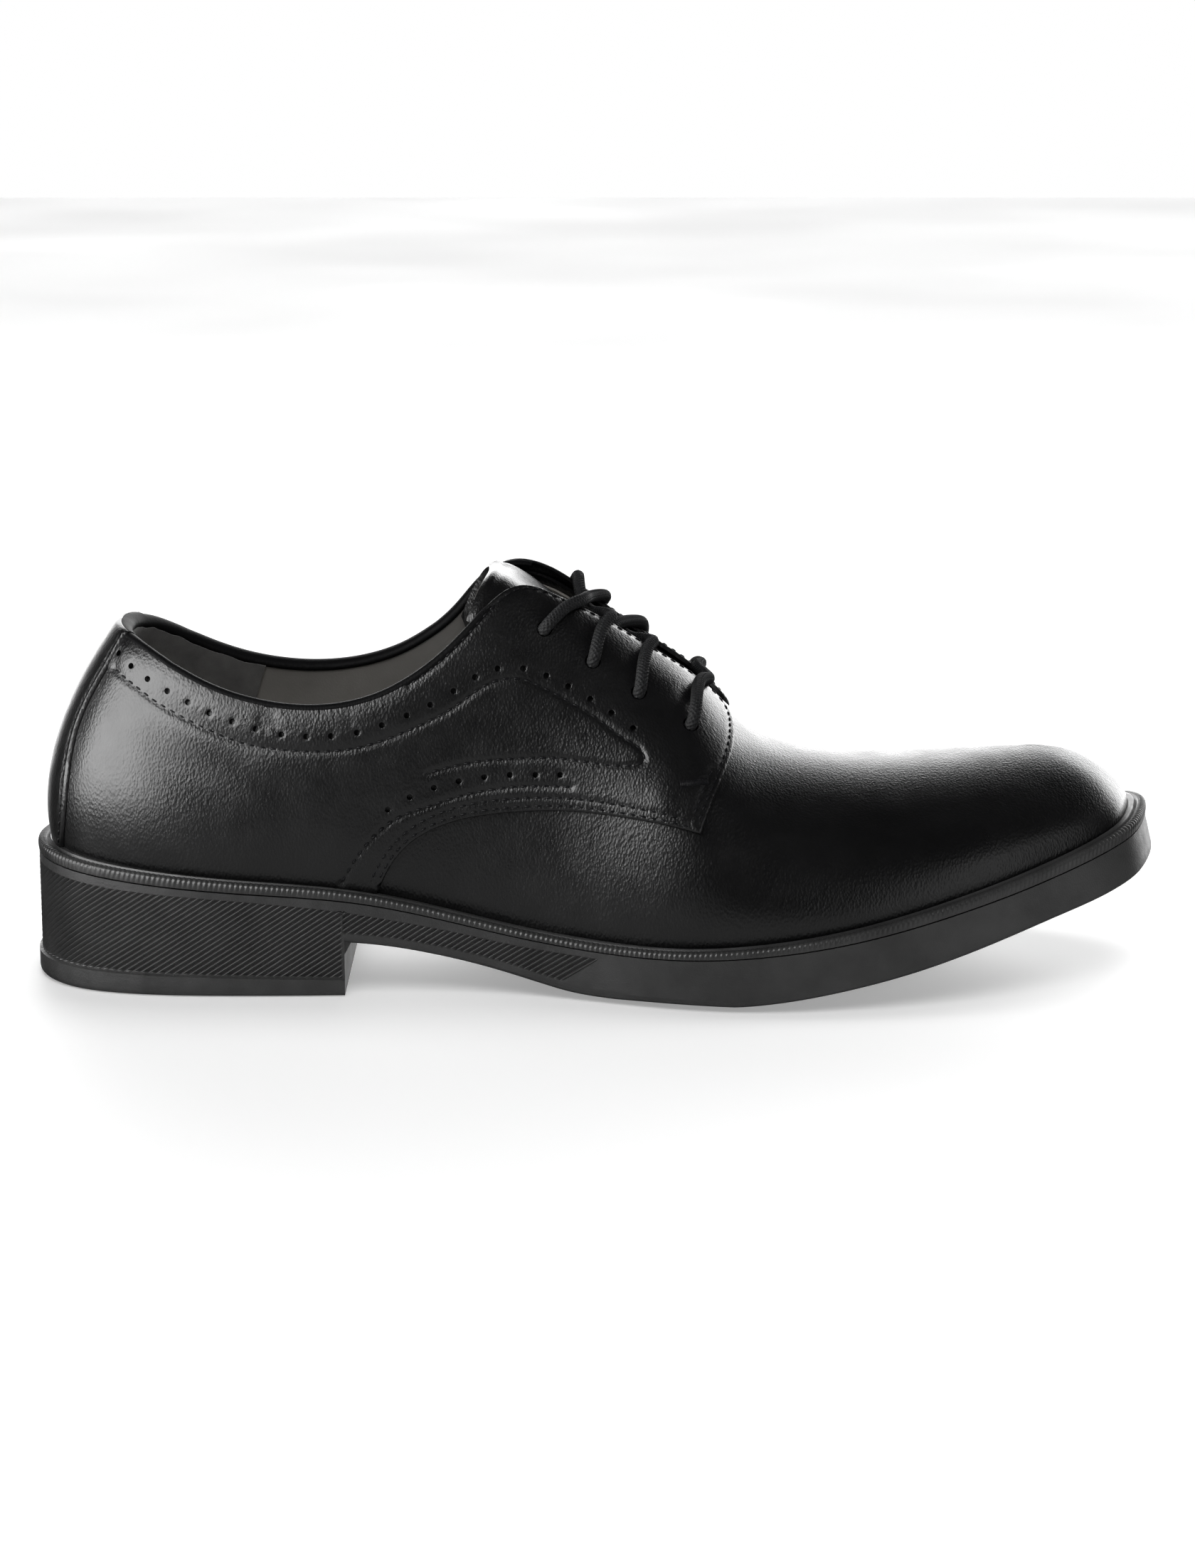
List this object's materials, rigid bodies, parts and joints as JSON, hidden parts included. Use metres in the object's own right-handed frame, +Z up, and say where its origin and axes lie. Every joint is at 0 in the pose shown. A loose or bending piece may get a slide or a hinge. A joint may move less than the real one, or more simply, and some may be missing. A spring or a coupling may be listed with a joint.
{
  "type": "plain-toe derby dress shoe",
  "caption": "Black plain-toe derby dress shoe for the right foot, with a hollow leather upper, open lacing and a ribbed low-heeled rubber sole.",
  "frame": {"origin": "on the floor, under the middle of the outsole's length and width", "axes": "+X towards the toe, +Y towards the inner side of the foot, +Z up"},
  "size_m": [0.3042, 0.1028, 0.1106],
  "materials": {
    "black_rubber": "matte moulded rubber, ribbed at heel and arch",
    "welt_rubber": "satin, knurled",
    "grey_lining": "matte lining",
    "black_leather": "semi-gloss, fine grain",
    "lace_cord": "round braided cord"
  },
  "bodies": {
    "root": {"outsole": "black_rubber", "welt": "welt_rubber", "insole": "grey_lining", "upper": "black_leather", "quarter_lateral": "black_leather", "quarter_medial": "black_leather", "backstay": "black_leather", "tongue": "black_leather", "lace_bar": "lace_cord", "lace_cross_1": "lace_cord", "lace_cross_2": "lace_cord"}
  },
  "joints": []
}
